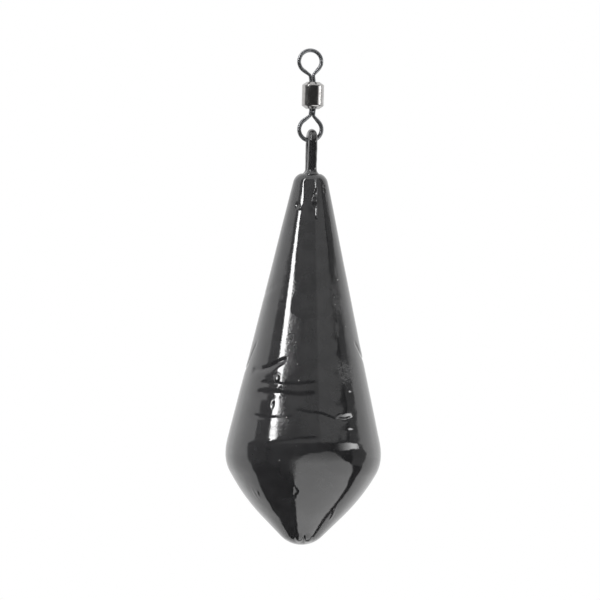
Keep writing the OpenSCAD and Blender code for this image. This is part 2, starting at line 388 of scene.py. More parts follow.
# Folds that run round the body: (points of (angle, height), share of the crease's depth)
CREASE = ((-62, 25.5), (-56, 25.5), (-47, 25.5), (-37, 25.9), (-28, 26.6), (-18, 27.2))
LEFT_FOLD = ((-104, 24.9), (-90, 25.4), (-77, 26.4), (-74, 27.5), (-69, 28.8), (-64, 29.7))
RIGHT_FOLD = ((63, 29.9), (70, 29.2), (75, 28.3), (90, 27.3), (112, 27.0), (131, 27.8))
FOLDS = ((CREASE, 1.0), (LEFT_FOLD, 0.6), (RIGHT_FOLD, 0.6))
# How wide a fold is above its bottom and below it
FOLD_LIP = (0.24, 0.5)
# A shallow fold that is sharper on its right, and where that is: (from angle, to, fade)
WAVE = ((-10, 19.9), (3, 19.4), (13, 19.3), (25, 18.6), (35, 18.5), (45, 18.9))
SHARP_WAVE = (30, 42, 5)
# Its depth and how much deeper the sharp part is, each with its width above the bottom and below it
WAVE_DEPTH, WAVE_LIP = 0.022, (0.2, 0.5)
SHARP_DEPTH, SHARP_LIP = 0.06, (0.5, 0.15)
# Shallow rings round the body: (points of (angle, height), width above the bottom, depth)
RINGS = (
    (((-48, 23.5), (-40, 23.6), (-24, 23.35), (-5, 23.4), (12, 23.8)), 0.26, 0.045),
    (((-50, 22.1), (-42, 22.2), (-23, 22.1), (-5, 21.75), (11, 22.1)), 0.42, 0.075),
    (((-50, 18.95), (-30, 18.5), (-18, 18.6), (-4, 18.8)), 0.2, 0.026),
    (((-96, 36.2), (-88, 36.3), (-75, 36.6), (-65, 37.0), (-53, 37.5), (-46, 37.9)), 0.14, 0.06),
    (((-34, 14.9), (-15, 15.2), (-3, 15.6), (13, 15.8)), 0.22, 0.02),
    (((136, 20.8), (158, 21.2), (181, 20.9), (204, 21.5)), 0.2, 0.08),
    (((118, 24.4), (150, 24.0), (176, 24.5), (199, 24.2), (226, 24.9)), 0.18, 0.08),
    (((168, 16.9), (190, 16.5), (214, 16.8), (236, 16.3)), 0.16, 0.06),
)
# The soft roll of film above the belt: heights, and the share of its full rise there
BELT_ROLL = ((13.0, 13.3, 13.6, 13.9, 15.0, 15.15, 15.3, 20.0, 30.0),
             (0.0, 0.05, 0.15, 0.32, 0.96, 1.0, 1.0, 0.7, 0.0))
# Lines of flash along the mould's parting: (points of (height, angle), half width, share of its height)
FLASH = (
    (((47.4, 14.8), (48.6, 15.6), (49.7, 16.4), (50.7, 16.9), (51.6, 18.8), (52.4, 16.6), (53.6, 18.0)),
     0.11, 1.0),
    (((50.3, 16.5), (50.8, 11.5), (51.4, 12.0), (52.2, 17.0)), 0.09, 0.75),
)
# The line at the back comes and goes: its points, half width, share and fade, and the least share
# of it that is left and the size of its patches
BACK_FLASH = (
    ((4.0, 197), (12.0, 197.4), (21.0, 196.6), (33.0, 197.2), (44.0, 196.5), (53.0, 198)), 0.2, 0.6, 3)
BACK_PATCHES = (0.35, 5)
# Blisters, bumps and pits: (angle, height, half width, half height, rise)
BLISTERS = (
    (11.8, 50.1, 0.36, 0.75, 0.13),
    (-27.1, 24.2, 0.42, 0.55, 0.12),
    (205, 27.4, 0.6, 0.8, 0.09),
    (148, 43.0, 0.4, 0.9, 0.08),
)
# A blister is flat on top, in a faint moat: its depth, its distance and its width as shares of it
MOAT = (0.3, 1.25, 0.22)
BUMPS = (
    (11.1, 51.3, 0.16, 0.18, 0.07),
    (3.0, 50.4, 1.1, 1.9, 0.10),
    (47.2, 52.3, 0.30, 0.16, -0.06),
    (46.0, 51.6, 0.22, 0.35, -0.04),
    (-34.0, 49.3, 0.32, 0.38, -0.09),
    (-24.0, 49.0, 0.30, 0.22, 0.07),
    (-27.6, 20.5, 0.12, 0.36, -0.09),
    (-25.4, 22.9, 0.35, 0.2, 0.05),
    (43.9, 22.4, 0.3, 0.2, -0.035),
    (39.2, 17.0, 0.5, 0.18, -0.028),
    (43.4, 39.9, 0.3, 0.7, 0.05),
    (47.4, 35.9, 0.16, 0.16, 0.05),
    (-33.8, 35.6, 0.14, 0.14, 0.05),
    (-12.6, 32.6, 0.14, 0.14, 0.05),
    (-26.0, 15.2, 0.5, 0.25, 0.05),
    (-20.0, 13.0, 0.2, 0.3, 0.03),
    (170, 31.0, 0.6, 2.4, 0.04),
    (226, 38.0, 0.5, 1.8, -0.04),
    (120, 34.0, 0.5, 2.0, 0.035),
    (-120, 30.0, 0.7, 1.6, 0.04),
)
# Worm-like wrinkles on the lower cone: (points of (height, angle), half width, rise)
WRINKLES = (
    (((6.9, -9.0), (7.5, -4.5), (8.0, -1.5), (8.5, -3.5), (9.1, -6.5), (9.8, -7.0)), 0.12, 0.08),
    (((7.4, -10.0), (8.3, -7.5), (9.0, -9.5)), 0.10, 0.05),
    (((6.7, -44.0), (7.1, -48.0), (7.7, -46.5), (8.3, -51.0)), 0.10, 0.11),
    (((6.6, -50.5), (7.5, -53.0), (8.4, -51.5)), 0.09, 0.09),
    (((3.6, 48.0), (4.8, 45.0), (5.9, 40.0)), 0.16, 0.05),
    (((9.0, 150.0), (9.8, 153.0), (10.6, 151.0)), 0.12, 0.04),
    (((6.0, 214.0), (7.0, 211.0), (8.0, 213.0)), 0.12, 0.04),
)
# The two nubs where the sprue was cut off: (sideways place, height, radius, rise)
NUBS = ((-0.28, 1.05, 0.55, 0.16), (0.98, 1.0, 0.58, 0.16))
# The cleft between them: (sideways place, height, half width, half height, depth)
NUB_CLEFT = (0.40, 0.9, 0.16, 0.6, 0.10)
# How high above the tip, and how far from the axis, the relief has its full height
TIP_FADE = 0.4
AXIS_FADE = 1.2
# Dust, and beside the tall highlight painted glints in its pale specks: the least of it, the size of its
# patches, and where more lies: (share, (from angle, to, fade), (from height, to, fade))
LEAST_DUST = 0.06
DUST_PATCH = 3.1
DUST_AND_GLINTS = (
    (1.0, (-17, -7, 7), (15.5, 34, 8)),
    (0.8, (36, 52, 5), (25, 40, 3)),
    (0.5, (100, 260, 25), (10, 40, 6)),
)


def coat_outline(rows):
    """The coat's outline from its tip to the middle of its shoulder as (radius, height) rows,
    found by rays from outside, square to the casting ridge, and crowded where detail lies."""
    s = bpy.context.scene.sinker_coat
    coat = NODES["coating"].data
    faces = [tuple(p.vertices) for p in coat.polygons]
    skin = BVHTree.FromPolygons([v.co for v in coat.vertices], faces)
    away = s.ridge_turn + math.pi / 2
    sideways = Vector((math.sin(away), -math.cos(away), 0))
    middle = Vector((0, 0, TIP_Z + s.belt_height))
    reach = 2 * (LOOP_TOP_Z - TIP_Z)
    points = []
    for step in range(1, LAST_RAY * RAYS_PER_DEGREE):
        angle = math.radians(step / RAYS_PER_DEGREE)
        ray = sideways * math.sin(angle) - Vector((0, 0, math.cos(angle)))
        hit = skin.ray_cast(middle + ray * reach, -ray)[0]
        points.append((Vector((hit.x, hit.y)).length, hit.z - TIP_Z))
    points = np.array([(0, 0)] + points + [(0, points[-1][1])])
    high = points[:, 1] / MM
    need = sum((more * window(high, *where) for more, *where in FINE_ROWS), 0.5)
    length = np.hypot(*np.diff(points, axis=0).T)
    weight = np.concatenate([[0], np.cumsum(length * (need[1:] + need[:-1]) / 2)])
    share = np.linspace(0, weight[-1], rows)
    return np.stack([np.interp(share, weight, points[:, i]) for i in (0, 1)], 1)


def smooth_step(value):
    value = np.clip(value, 0, 1)
    return value * value * (3 - 2 * value)


def window(value, low, high, fade):
    """1 between low and high, falling to 0 over fade outside them."""
    return smooth_step((value - low + fade) / fade) * smooth_step((high + fade - value) / fade)


def bell(offset, width):
    return np.exp(-((offset / width) ** 2))


def lip(above, up, down):
    """A soft groove that is as wide above its bottom as up, and below it as down."""
    return np.exp(-((above / np.where(above > 0, up, down)) ** 2))


def wrapped(angle, near):
    """The angle in degrees, within half a turn of another."""
    return (angle - near + 180) % 360 - 180 + near


def ripple(points, size):
    """Smooth noise from -1 to 1 at each point, with waves about size across."""
    return np.array([noise.noise(Vector(p) / size) for p in points])


def round_fold(angle, height, path, fade=5):
    """For folds that run round the body: the distance above the path, and where it counts."""
    turn, rise = np.array(path, float).T
    near = wrapped(angle, turn.mean())
    return height - np.interp(near, turn, rise), window(near, turn[0] + fade, turn[-1] - fade, fade)


def down_fold(angle, height, radius, path, fade=0.6):
    """For folds that run down the body: the distance beside the path, and where it counts."""
    rise, turn = np.array(path, float).T
    near = wrapped(angle, turn.mean())
    offset = np.radians(near - np.interp(height, rise, turn)) * radius
    return offset, window(height, rise[0] + fade, rise[-1] - fade, fade)


def coat_relief(angle, height, radius, points):
    """How far the coat stands out from its plain outline, at each angle and height."""
    s = bpy.context.scene.sinker_coat
    waves = sum(share * ripple(points, size * MM) for share, size in SLOW_WAVES)
    rise = s.waviness / MM * waves * (1 - window(height, *CALM))
    from_front = wrapped(angle, 0)
    for up, size, heights, turns in RIPPLES:
        rise += up * ripple(points, size * MM) * window(height, *heights) * window(from_front, *turns)
    rise += s.belt_roll / MM * np.interp(height, BELT_ROLL[0], BELT_ROLL[1])
    for path, width, share in FLASH:
        offset, where = down_fold(angle, height, radius, path)
        rise += s.flash_height / MM * share * where * bell(offset, width)
    path, width, share, fade = BACK_FLASH
    least, size = BACK_PATCHES
    offset, where = down_fold(angle, height, radius, path, fade)
    patchy = least + (1 - least) * smooth_step(2 * ripple(points, size * MM) + 0.5)
    rise += share * s.flash_height / MM * where * patchy * bell(offset, width)
    moat, moat_far, moat_wide = MOAT
    for turn, high, wide, tall, up in BLISTERS:
        beside = np.radians(wrapped(angle, turn) - turn) * radius
        far = np.hypot(beside / wide, (height - high) / tall)
        rise += up * np.exp(-far ** 6) - moat * up * bell(far - moat_far, moat_wide)
    for turn, high, wide, tall, up in BUMPS:
        beside = np.radians(wrapped(angle, turn) - turn) * radius
        rise += up * bell(beside, wide) * bell(height - high, tall)
    for path, depth in FOLDS:
        above, where = round_fold(angle, height, path)
        rise -= s.crease_depth / MM * depth * where * lip(above, *FOLD_LIP)
    for path, width, depth in RINGS:
        above, where = round_fold(angle, height, path, 8)
        rise -= depth * where * lip(above, width, 2 * width)
    above, where = round_fold(angle, height, WAVE)
    sharper = SHARP_DEPTH * window(angle, *SHARP_WAVE) * lip(above, *SHARP_LIP)
    rise -= where * (WAVE_DEPTH * lip(above, *WAVE_LIP) + sharper)
    for path, width, up in WRINKLES:
        offset, where = down_fold(angle, height, radius, path)
        rise += up * where * bell(offset, width)
    ahead = np.abs(from_front) < 90
    beside = radius * np.sin(np.radians(angle))
    for side, high, wide, up in NUBS:
        rise += ahead * up * np.exp(-(((beside - side) / wide) ** 2 + ((height - high) / wide) ** 2) ** 2)
    side, high, wide, tall, down = NUB_CLEFT
    rise -= ahead * down * bell(beside - side, wide) * bell(height - high, tall)
    return rise


def dust_and_glints_of(angle, height, points):
    """How much dust the film holds, from 0 to 1: most beside the tall highlight, where its pale specks are
    also painted glints, less on the right flank and the back, and a little everywhere."""
    patchy = smooth_step(0.9 * ripple(points, DUST_PATCH * MM) + 0.5)
    most = np.zeros(len(points))
    for share, turns, heights in DUST_AND_GLINTS:
        near = wrapped(angle, (turns[0] + turns[1]) / 2)
        most = np.maximum(most, share * (window(near, *turns) * window(height, *heights)))
    return np.clip(LEAST_DUST + patchy * most, 0, 1)


# Sizes and colours that a user would change


def number(name, description, default, **more):
    return bpy.props.FloatProperty(name=name, description=description, default=default, **more)


def length(name, description, millimetres):
    """A length in metres whose default is given in mm."""
    return number(name, description, millimetres * MM, subtype="DISTANCE", unit="LENGTH", precision=5)


def rotation(name, description, degrees):
    """An angle in radians whose default is given in degrees."""
    return number(name, description, math.radians(degrees), subtype="ANGLE", unit="ROTATION")


def whole(name, description, default):
    return bpy.props.IntProperty(name=name, description=description, default=default)


def tint(name, description, code):
    return bpy.props.FloatVectorProperty(
        name=name, description=description, default=linear(code), size=4, subtype="COLOR")


class SinkerCoat(bpy.types.PropertyGroup):
    film_dark: tint("Film", "Main colour of the film", "#1b1b1c")
    film_light: tint("Film clouds", "Colour of the film's faint clouds", "#232324")
    # The specks' colours: pale dust, and beside the tall highlight, where the specks crowd, painted glints
    # too
    dust_and_glint_dark: tint("Dust", "Darker colour of the dust", "#8e8e8c")
    dust_and_glint_light: tint("Pale dust", "Paler colour of the dust", "#c4c4c1")
    ridge_turn: rotation("Ridge turn", "Turn of the casting ridge from the front", 17.0)
    belt_height: length("Belt height", "Height of the belt above the tip", 12.8)
    columns: whole("Columns", "Columns round the body", 272)
    rows: whole("Rows", "Rows from tip to shoulder", 345)
    front_share: number(
        "Front share", "How far the columns crowd towards the front", 0.42, subtype="FACTOR")
    waviness: length("Waviness", "Height of the film's slow waves", 0.03)
    belt_roll: length("Belt roll", "Height of the soft roll of film above the belt", 0.085)
    flash_height: length("Flash height", "Height of the casting ridge under the film", 0.14)
    crease_depth: length("Crease depth", "Depth of the crease", 0.18)
    peel_size: length("Orange peel size", "Width of the orange peel's dimples", 1.1)
    peel_height: length("Orange peel height", "Height of the orange peel", 0.008)
    grain_size: length("Grain size", "Width of the dust grain, as coarse as it needs to show", 0.22)
    grain_height: length("Grain height", "Height of the dust grain", 0.012)
    speck_count: number("Specks", "Specks per square metre where the dust is thickest", 300000.0)
    speck_small: length("Smallest speck", "Radius of the smallest speck", 0.02)
    speck_large: length("Largest speck", "Radius of the largest speck", 0.06)
    seed: whole("Seed", "Seed of the specks' places", 7)


class SinkerLoop(bpy.types.PropertyGroup):
    crown_r: length("Crown radius", "Radius of the crown at the middle of its wire", 1.15)
    skin_r: length("Coated radius", "Radius of the coated wire", 0.70)
    turn: rotation("Turn", "Turn of the loop's plane from square to the rings", 9.0)
    leg_lean: rotation("Leg lean", "Lean of each leg towards the other", 4.0)
    sunk: length("Sunk length", "Length of the coated leg below the shoulder", 1.3)
    foot_reach: length("Foot reach", "Height up to which film pools round a leg", 0.9)
    foot_swell: length("Foot swell", "Width of that pool at the shoulder", 0.42)
    leg_swell: number(
        "Leg swell", "Extra width of the film on the legs, as a share", 0.03, subtype="FACTOR")
    lump_size: length("Lump size", "Width of the film's lumps", 0.9)
    lump_height: length("Lump height", "Height of the film's lumps", 0.10)


class SinkerSwivel(bpy.types.PropertyGroup):
    barrel_dark: tint("Barrel", "Darker colour of the barrel's plate", "#82807f")
    barrel_light: tint("Bright barrel", "Brighter colour of the barrel's plate", "#8f8e8d")
    eye_dark: tint("Eyes", "Colour of the eyes' plate", "#6e6f71")
    eye_light: tint("Rubbed eyes", "Colour of the eyes where their plate has worn", "#9a9b9d")
    wire_r: length("Wire radius", "Radius of the plated wire", 0.285)
    stem_x: length("Stem place", "Distance of a stem's middle from the swivel's axis", 0.24)
    stem_share: number(
        "Stem width", "Width of the pressed stems, as a share of the wire's", 0.82, subtype="FACTOR")
    leg_angle: rotation("Leg angle", "Angle from straight down at which a ring's legs run in", 47.0)
    neck_bend: length("Neck bend", "Radius of the bend from leg to stem", 0.45)
    barrel_wall: length("Barrel wall", "Wall of the barrel", 0.3)
    taper_h: length("Taper", "Length of the barrel's tapered ends", 0.45)
    lip_w: length("Lip", "Width of the flat lip round each hole", 0.35)
    corner: length("Barrel corner", "How far from each corner its rounding starts", 0.14)
    lower_bulk: number(
        "Lower bulk", "Width of the lower eye's wire, as a share of the upper's", 1.06, subtype="FACTOR")
    hole_r: length("Hole radius", "Radius of the barrel's holes", 0.63)
    hole_depth: length("Hole depth", "Depth of the barrel's holes as far as they are seen", 0.45)
    lip_roll: length("Lip roll", "Radius of the rolled edge of each lip", 0.07)
    play: length("Play", "Gap under the barrel's end wall", 0.05)
    upper_shift: length("Upper shift", "Shift of the upper eye to the left in its hole", 0.1)
    upper_lean: rotation("Upper lean", "Lean of the upper eye to the left in its hole", 8.0)
    lower_lean: rotation("Lower lean", "Lean of the lower eye to the left in its hole", 4.6)


class SinkerStage(bpy.types.PropertyGroup):
    distance: length("Camera distance", "Distance of the camera from the sinker", 900)
    view_width: length("View width", "Width of the view at the sinker", 87.4)
    aim_x: length("Aim across", "Sideways place that the camera looks at", -1.07)
    aim_z: length("Aim height", "Height that the camera looks at", -34.8)
    roll: rotation("Roll", "Lean of the sinker's top to the right", 1.55)
    floor_drop: length("Floor drop", "Distance from the tip down to the floor", 130)
    floor_r: length("Floor radius", "Radius of the floor", 2000)
    fill: number("Fill", "Strength of the room's fill light", 0.5)
    gloss: number("Room in gloss", "Strength of the white room as gloss shows it", 1.75)
    behind: number("Room behind", "The same straight behind the part", 0.95)


# Pieces

# How many straight steps make each bend and leg, and how many sides and columns make a round
CROWN_STEPS = 44
LOOP_LEG_STEPS = 46
RING_STEPS = 72
NECK_STEPS = 10
STEM_STEPS = 8
ROLL_STEPS = 6
TAPER_STEPS = 5
CORNER_STEPS = 12
SIDE_STEPS = 10
LOOP_SIDES = 40
EYE_SIDES = 28
BARREL_COLUMNS = 96


def on_sinker(piece, *nodes):
    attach(piece, "sinker")
    if nodes:
        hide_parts(*nodes)


def coat_piece(material):
    """The film over the body, from its outline, with every fold, blister and line of flash."""
    s = bpy.context.scene.sinker_coat
    outline = coat_outline(s.rows)
    base = poly_curve("outline", [(r, 0, TIP_Z + z) for r, z in outline])
    piece = grown("coat_body", base, turned_tree(material),
                  {"Columns": s.columns, "Rows": s.rows, "Front share": s.front_share})
    mesh = piece.data
    count = len(mesh.vertices)
    spots = np.zeros(count * 3)
    mesh.vertices.foreach_get("co", spots)
    spots = spots.reshape(-1, 3)
    radius = np.hypot(spots[:, 0], spots[:, 1])
    angle = np.degrees(np.arctan2(spots[:, 0], -spots[:, 1]))
    height = (spots[:, 2] - TIP_Z) / MM
    slope = np.gradient(outline, axis=0)
    slope /= np.linalg.norm(slope, axis=1)[:, None]
    out_r, out_z = (np.interp(height * MM, outline[:, 1], part) for part in (slope[:, 1], -slope[:, 0]))
    rise = coat_relief(angle, height, radius / MM, spots) * MM
    # The relief stays inside the part's box and fades out at the tip and amid the shoulder
    rise = np.minimum(rise, (BELT_R - radius) / np.maximum(out_r, 0.2))
    rise *= smooth_step(height / TIP_FADE) * smooth_step(radius / (AXIS_FADE * MM))
    turn = np.radians(angle)
    spots += np.stack([rise * out_r * np.sin(turn), -rise * out_r * np.cos(turn), rise * out_z], 1)
    mesh.vertices.foreach_set("co", spots.ravel())
    dust = mesh.attributes.new("dust", "FLOAT", "POINT")
    dust.data.foreach_set("value", dust_and_glints_of(angle, height, spots))
    mesh.update()
    return piece


class SINKER_OT_coat(bpy.types.Operator):
    """Makes the black film over the lead, with the dust that it holds; its pale specks beside the tall
    highlight are painted glints as well
    """

    bl_idname = "sinker.coat"
    bl_label = "Dip coat"

    def execute(self, context):
        s = context.scene.sinker_coat
        body = coat_piece(dip_film())
        on_sinker(body, "coating")
        base = linked("dusty_skin", body.data.copy())
        specks = grown("coat_specks", base, specks_tree(pale_dust()), {
            "Per square metre": s.speck_count, "Smallest": s.speck_small,
            "Largest": s.speck_large, "Seed": s.seed})
        on_sinker(specks)
        return {"FINISHED"}


def arc(middle, radius, start, end, steps):
    """Points in the XZ plane along an arc, from one angle to another."""
    turns = (start + (end - start) * i / steps for i in range(steps + 1))
    return [(middle[0] + radius * math.cos(a), 0, middle[1] + radius * math.sin(a)) for a in turns]


def straight(start, end, steps):
    """Points between two ends, both left out."""
    return [tuple(a + (b - a) * i / steps for a, b in zip(start, end)) for i in range(1, steps)]


class SINKER_OT_loop(bpy.types.Operator):
    """Makes the film over the wire loop, pooled where the legs enter the shoulder"""

    bl_idname = "sinker.loop"
    bl_label = "Coated loop"

    def execute(self, context):
        s = context.scene.sinker_loop
        crown_z = LOOP_TOP_Z - s.skin_r - s.crown_r
        # The outline ends on the shoulder
        shoulder_z = TIP_Z + coat_outline(2)[-1][1]
        crown = arc((0, crown_z), s.crown_r, -s.leg_lean, math.pi + s.leg_lean, CROWN_STEPS)
        low = shoulder_z - s.sunk
        run = (crown[0][2] - low) * math.tan(s.leg_lean)
        right = (crown[0][0] - run, 0, low)
        left = (crown[-1][0] + run, 0, low)
        path = [right, *straight(right, crown[0], LOOP_LEG_STEPS), *crown,
                *straight(crown[-1], left, LOOP_LEG_STEPS), left]
        turn = Matrix.Rotation(math.pi / 2 + s.turn, 3, "Z")
        depths = [crown_z - z for x, y, z in path]
        widths = [1 + s.leg_swell * float(smooth_step(depth / s.crown_r)) for depth in depths]
        base = poly_curve("loop_path", [turn @ Vector(p) for p in path], widths)
        piece = grown("coat_loop", base, wire_tree(bpy.data.materials[FILM]), {
            "Radius": s.skin_r - s.lump_height / 4, "Sides": LOOP_SIDES, "Foot height": shoulder_z,
            "Foot reach": s.foot_reach, "Foot swell": s.foot_swell,
            "Lump size": s.lump_size, "Lump height": s.lump_height})
        on_sinker(piece)
        return {"FINISHED"}


def eye_path(s, ring_r, reach):
    """The middle line of an eye's wire with its ring's centre at the origin: up one stem, round
    the ring and down the other. The ring's legs run in straight, as the wire was bent."""
    half = s.leg_angle
    neck_x = s.stem_x + s.neck_bend
    touch = (ring_r * math.cos(half), -ring_r * math.sin(half))
    bend_end = (neck_x - s.neck_bend * math.cos(half), s.neck_bend * math.sin(half))
    drop = touch[1] - (touch[0] - bend_end[0]) / math.tan(half)
    neck_z = drop - bend_end[1]
    ring = arc((0, 0), ring_r, -half, math.pi + half, RING_STEPS)
    bend = arc((-neck_x, neck_z), s.neck_bend, half, 0, NECK_STEPS)
    low = (-s.stem_x, 0, -reach)
    leg = straight(ring[-1], bend[0], STEM_STEPS)
    side = [*leg, *bend, *straight(bend[-1], low, STEM_STEPS), low]
    other = [(-x, y, z) for x, y, z in reversed(side)]
    return other + ring + side


class SINKER_OT_eyes(bpy.types.Operator):
    """Makes the swivel's two wire eyes, from their rings to where their stems end in the barrel"""

    bl_idname = "sinker.eyes"
    bl_label = "Swivel eyes"

    def execute(self, context):
        s = context.scene.sinker_swivel
        ring_r = RING_TOP_Z - s.wire_r
        wire = wire_tree(black_nickel())
        barrel_end = UPPER_CENTRE_Z - BARREL_HIGH.z
        path = eye_path(s, ring_r, barrel_end + s.barrel_wall + s.play)
        neck_z = -ring_r - s.neck_bend / 2
        thinning = [float(smooth_step((neck_z + ring_r / 3 - z) / (ring_r / 3))) for x, y, z in path]
        widths = [1 - (1 - s.stem_share) * share for share in thinning]
        upper = ("swivel_upper_eye", "upper_eye", UPPER_CENTRE_Z, 1, BARREL_HIGH.z,
                 -s.upper_lean, -s.upper_shift, 1.0)
        lower = ("swivel_lower_eye", "lower_eye", LOWER_CENTRE_Z, -1, BARREL_LOW.z,
                 s.lower_lean, 0.0, s.lower_bulk)
        for node, body, centre_z, way, hole_z, lean, shift, bulk in (upper, lower):
            hole = Vector((0, 0, hole_z))
            moved = hole + Vector((shift, 0, 0))
            turn = Matrix.Rotation(lean, 3, "Y")
            points = [turn @ (Vector((x, y, centre_z + way * z)) - hole) + moved for x, y, z in path]
            base = poly_curve(node + "_path", points, widths)
            # An eye's wire has no foot, so that lies far below it
            piece = grown(node + "_wire", base, wire, {
                "Radius": s.wire_r * bulk, "Sides": EYE_SIDES, "Foot height": -1.0, "Foot reach": 0.1,
                "Foot swell": 0.0, "Lump size": 0.7 * MM, "Lump height": 0.02 * MM})
            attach(piece, body)
            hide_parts(node)
        return {"FINISHED"}


def barrel_outline(s):
    """The barrel's outline as (radius, height from its middle), closed along the axis."""
    half = (BARREL_HIGH.z - BARREL_LOW.z) / 2
    radius = BARREL_HIGH.x
    hole = s.hole_r
    edge = hole + s.lip_w
    roll = s.lip_roll
    top = [(0.0, half - s.hole_depth), (hole, half - s.hole_depth), (hole, half - roll)]
    top += [(hole + roll * (1 - math.cos(a)), half - roll * (1 - math.sin(a)))
            for a in (math.pi / 2 * i / ROLL_STEPS for i in range(1, ROLL_STEPS + 1))]
    top += [(edge - roll, half), (edge, half - 0.25 * roll)]
    start = Vector((edge, half - 0.02 * MM))
    corner = Vector((radius, half - s.taper_h))
    end = Vector((radius, 0))
    first = corner + (start - corner).normalized() * s.corner
    last = corner + (end - corner).normalized() * s.corner
    top += [tuple(start.lerp(first, i / TAPER_STEPS)) for i in range(1, TAPER_STEPS)]
    for i in range(CORNER_STEPS + 1):
        t = i / CORNER_STEPS
        top.append(tuple(first * (1 - t) ** 2 + corner * (2 * t * (1 - t)) + last * t * t))
    top += [(radius, last.y * (1 - i / SIDE_STEPS)) for i in range(1, SIDE_STEPS + 1)]
    return top + [(r, -z) for r, z in reversed(top[:-1])]


class SINKER_OT_barrel(bpy.types.Operator):
    """Makes the swivel's barrel with its rolled lips"""

    bl_idname = "sinker.barrel"
    bl_label = "Swivel barrel"

    def execute(self, context):
        s = context.scene.sinker_swivel
        middle = (BARREL_LOW.z + BARREL_HIGH.z) / 2
        outline = barrel_outline(s)
        base = poly_curve("barrel_outline", [(r, 0, middle + z) for r, z in reversed(outline)])
        piece = grown("barrel_shell", base, turned_tree(bright_nickel()),
                      {"Columns": BARREL_COLUMNS, "Rows": len(outline), "Front share": 0.0})
        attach(piece, "barrel")
        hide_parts("swivel_barrel")
        return {"FINISHED"}


class SINKER_OT_core(bpy.types.Operator):
    """Gives the lead and the wire under the film their own materials"""

    bl_idname = "sinker.core"
    bl_label = "Lead and wire"

    def execute(self, context):
        for node, material in (("lead_core", cast_lead()), ("wire_loop", drawn_steel())):
            slots = NODES[node].data.materials
            slots.clear()
            slots.append(material)
        return {"FINISHED"}


# Stage, in metres and degrees. A bearing counts from the camera's side, positive towards +X.

# Edges of the side flags: (bearing, height)
LEFT_FLAG = (
    (-73, 0.42), (-73, 0.115), (-69, 0.114), (-71, 0.107), (-75, 0.1), (-81, 0.091), (-83, 0.083),
    (-84, 0.077), (-82, 0.067), (-81, 0.058), (-84, 0.051), (-92, 0.018), (-90, -0.069), (-88, -0.23),
)
RIGHT_FLAG = (
    (99, 0.42), (99, 0.091), (112, 0.078), (105, 0.072), (99, 0.071), (96, 0.064), (98, 0.057),
    (98, 0.047), (92, 0.046), (93, 0.042), (107, -0.038), (101, -0.165), (101, -0.23),
)
# The tall strip light, from its lower end up: (bearing of its middle, half its width, height)
STRIP = (
    (-49.5, 6.2, 0.0795), (-50, 6.3, 0.09), (-51, 6.3, 0.106), (-51.2, 5.7, 0.116),
    (-50.8, 5.7, 0.124), (-51, 4.4, 0.133), (-51, 2.5, 0.15), (-52, 1.7, 0.45),
)
# The key light, from its lower edge up: (bearing of its left end, of its right end, height)
KEY = ((50, 92, 0.0005), (50, 90, 0.018), (50, 82, 0.028), (50, 76, 0.038))
# Cards near the part: (name, distance, rows as in KEY, name of its cloth, strength, fade)
NEAR_CARDS = (
    ("strip_card", 0.35, [(a - wide, a + wide, z) for a, wide, z in STRIP], "strip_cloth", 27.0, None),
    ("key_card", 0.3, KEY, "key_cloth", 0.3, ("Y", -0.17, -0.06, 9.0)),
    ("left_flag", 0.36, [(a, -57, z) for a, z in LEFT_FLAG], "left_flag_cloth", 0.2,
     ("Z", 0.04, 0.075, 0.4)),
    ("right_flag", 0.36, [(a, 78, z) for a, z in RIGHT_FLAG], "right_flag_cloth", 0.42, None),
)
NEAR_STEPS = 12
# Lower edge of the ceiling cards: (bearing, height)
CEILING_EDGE = ((-41, 0.365), (0, 0.405), (25, 0.405), (50, 0.365), (56, 0.355), (68, 0.352), (76, 0.40))
# Cards further off: (name, first bearing, last bearing, distance, lower edge, top, cloth, strength)
FAR_CARDS = (
    ("front_felt", -62, 80, 1.25, -1.2, 1.6, "dark_cloth", 0.08),
    ("dim_card", -41, 26, 1.1, CEILING_EDGE, 1.5, "dim_cloth", 0.62),
    ("mid_card", 26, 76, 1.1, CEILING_EDGE, 1.5, "mid_cloth", 0.95),
)
FAR_STEPS = 24
# Softboxes: (name, bearing, distance, height, width, tallness, radiance, height that it faces)
SOFTBOXES = (
    ("left_softbox", -108, 0.9, 0.0, 1.62, 1.5, 0.7, -0.03),
    ("right_softbox", 121, 0.9, 0.0, 0.97, 1.5, 1.0, -0.03),
    ("strip_lamp", -48.6, 0.35, 0.22, 0.08, 0.27, 26.0, -0.03),
    ("key_lamp", 70, 0.3, 0.021, 0.2, 0.038, 7.0, 0.0),
)
# The low softbox's bent sheet: (degrees down from straight ahead, left and right edge over the radius)
LOW_SHEET = (
    (-11.5, 0.75, 0.95), (-10.6, 0.58, 1.02), (-8, 0.46, 1.13), (-5.6, 0.16, 1.22), (-1, 0.0, 1.38),
    (6, -0.09, 1.58), (10, -0.2, 1.68), (18.5, -0.21, 1.91), (42.5, -0.19, 2.6), (55, -0.17, 2.7),
    (66, -0.155, 2.6), (84, -0.13, 1.93), (92, -0.11, 1.45), (100, -0.1, 1.1), (104, -0.1, 1.05),
    (106.3, -0.1, 0.5),
)
LOW_SHEET_R = 0.10
LOW_SHEET_Z = TIP_Z + 9 * MM
LOW_GLOW = 2.7
LOW_FADE = ("Z", -0.095, -0.03, 0.6)
# The table under the part and the felt under its front: height, and corners as (x, y)
TABLE_Z = TIP_Z - 0.1
TABLE_GLOW = 1.6
TABLE = (
    (-1.95, -0.08), (-0.24, -0.014), (-0.113, 0.021), (-0.086, 0.031), (-0.063, 0.042), (-0.03, 0.05),
    (0.03, 0.052), (0.066, 0.05), (0.092, 0.046), (0.125, 0.057), (0.153, 0.056), (0.364, 0.078),
    (1.95, 0.16), (1.95, 1.95), (-1.95, 1.95),
)
FELT_Z = TABLE_Z - 0.01
FELT = ((-1.2, -1.2), (1.2, -1.2), (1.2, 0.12), (-1.2, 0.12))
FLOOR_SIDES = 64


